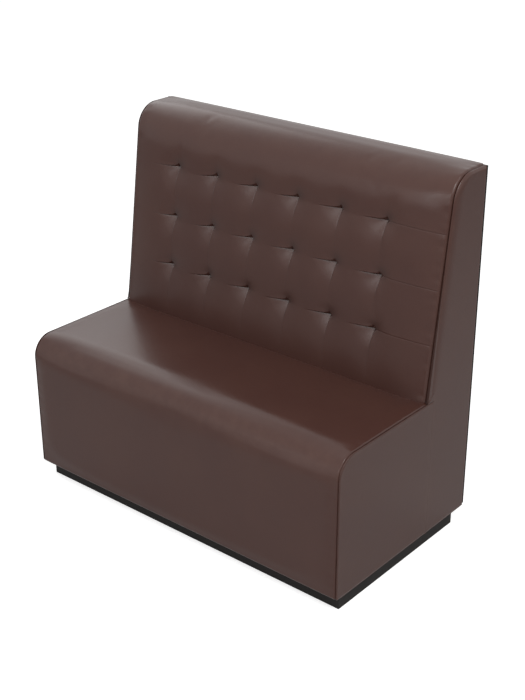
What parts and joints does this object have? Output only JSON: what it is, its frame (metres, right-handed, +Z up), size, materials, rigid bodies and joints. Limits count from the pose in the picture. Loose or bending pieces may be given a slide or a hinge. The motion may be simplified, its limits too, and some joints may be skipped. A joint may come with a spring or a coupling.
{
  "type": "restaurant booth seat",
  "caption": "Upholstered single booth bench: padded seat box with a rounded nose, leaning back tufted in squares under a rolled flat top, on a recessed black plinth.",
  "frame": {"origin": "on the floor, under the middle of the booth", "axes": "+X along the booth, to the right of someone who faces it; +Y from the seat's front to the rear panel; +Z up"},
  "size_m": [1.2, 0.6458, 1.14],
  "materials": {
    "leatherette_brown": "satin",
    "foam": "matte",
    "felt": "matte",
    "plywood": "matte",
    "softwood": "matte",
    "plinth_black": "satin",
    "rear_black": "matte",
    "spring_steel": "satin",
    "zinc_steel": "satin",
    "twine": "matte",
    "foot_plastic": "matte"
  },
  "bodies": {
    "booth": {"seat_cover": "leatherette_brown", "seat_left_cover": "leatherette_brown", "seat_right_cover": "leatherette_brown", "back_cover": "leatherette_brown", "back_left_cover": "leatherette_brown", "back_right_cover": "leatherette_brown", "seat_foam": "foam", "seat_front_pad": "foam", "seat_left_pad": "foam", "seat_right_pad": "foam", "back_foam": "foam", "back_left_pad": "foam", "back_right_pad": "foam", "spring_insulator": "felt", "base_board": "plywood", "seat_front_board": "plywood", "seat_rear_board": "plywood", "seat_left_end": "plywood", "seat_right_end": "plywood", "seat_centre_divider": "plywood", "back_left_gable": "plywood", "back_right_gable": "plywood", "back_lower_front_board": "plywood", "back_shelf": "plywood", "back_lower_rib": "plywood", "back_upper_rib": "plywood", "tufting_board": "plywood", "seat_corner_blocks": "softwood", "front_spring_rail": "softwood", "rear_spring_rail": "softwood", "back_top_rail": "softwood", "back_bottom_rail": "softwood", "plinth_corner_blocks": "softwood", "plinth_front_rail": "plinth_black", "plinth_back_rail": "plinth_black", "plinth_left_rail": "plinth_black", "plinth_right_rail": "plinth_black", "plinth_centre_rail": "plinth_black", "rear_panel": "rear_black", "seat_springs": "spring_steel", "spring_clips": "spring_steel", "plinth_screws": "zinc_steel", "seat_box_screws": "zinc_steel", "back_frame_screws": "zinc_steel", "rear_panel_screws": "zinc_steel", "joining_bolts": "zinc_steel", "joining_washers": "zinc_steel", "joining_nuts": "zinc_steel", "tuft_washers": "zinc_steel", "leveller_inserts": "zinc_steel", "tuft_ties": "twine"},
    "pad_front_left": {"leveller_pad_front_left": "foot_plastic"},
    "stem_front_left": {"leveller_stem_front_left": "zinc_steel"},
    "pad_front_right": {"leveller_pad_front_right": "foot_plastic"},
    "stem_front_right": {"leveller_stem_front_right": "zinc_steel"},
    "pad_back_left": {"leveller_pad_back_left": "foot_plastic"},
    "stem_back_left": {"leveller_stem_back_left": "zinc_steel"},
    "pad_back_right": {"leveller_pad_back_right": "foot_plastic"},
    "stem_back_right": {"leveller_stem_back_right": "zinc_steel"}
  },
  "joints": [
    {"name": "front_left_foot_out", "type": "slide", "parent": "booth", "child": "pad_front_left", "axis": [0, 0, -1], "range_m": [0, 0.012]},
    {"name": "front_left_stem_turn", "type": "hinge", "parent": "pad_front_left", "child": "stem_front_left", "pos_m": [-0.534, -0.23891, 0.0123], "axis": [0, 0, 1], "range_deg": [0, 2880]},
    {"name": "front_right_foot_out", "type": "slide", "parent": "booth", "child": "pad_front_right", "axis": [0, 0, -1], "range_m": [0, 0.012]},
    {"name": "front_right_stem_turn", "type": "hinge", "parent": "pad_front_right", "child": "stem_front_right", "pos_m": [0.534, -0.23891, 0.0123], "axis": [0, 0, 1], "range_deg": [0, 2880]},
    {"name": "back_left_foot_out", "type": "slide", "parent": "booth", "child": "pad_back_left", "axis": [0, 0, -1], "range_m": [0, 0.012]},
    {"name": "back_left_stem_turn", "type": "hinge", "parent": "pad_back_left", "child": "stem_back_left", "pos_m": [-0.534, 0.23891, 0.0123], "axis": [0, 0, 1], "range_deg": [0, 2880]},
    {"name": "back_right_foot_out", "type": "slide", "parent": "booth", "child": "pad_back_right", "axis": [0, 0, -1], "range_m": [0, 0.012]},
    {"name": "back_right_stem_turn", "type": "hinge", "parent": "pad_back_right", "child": "stem_back_right", "pos_m": [0.534, 0.23891, 0.0123], "axis": [0, 0, 1], "range_deg": [0, 2880]}
  ],
  "couplings": [
    {"joint": "front_left_stem_turn", "follows": "front_left_foot_out", "rad_per_m": 4188.8},
    {"joint": "front_right_stem_turn", "follows": "front_right_foot_out", "rad_per_m": 4188.8},
    {"joint": "back_left_stem_turn", "follows": "back_left_foot_out", "rad_per_m": 4188.8},
    {"joint": "back_right_stem_turn", "follows": "back_right_foot_out", "rad_per_m": 4188.8}
  ]
}
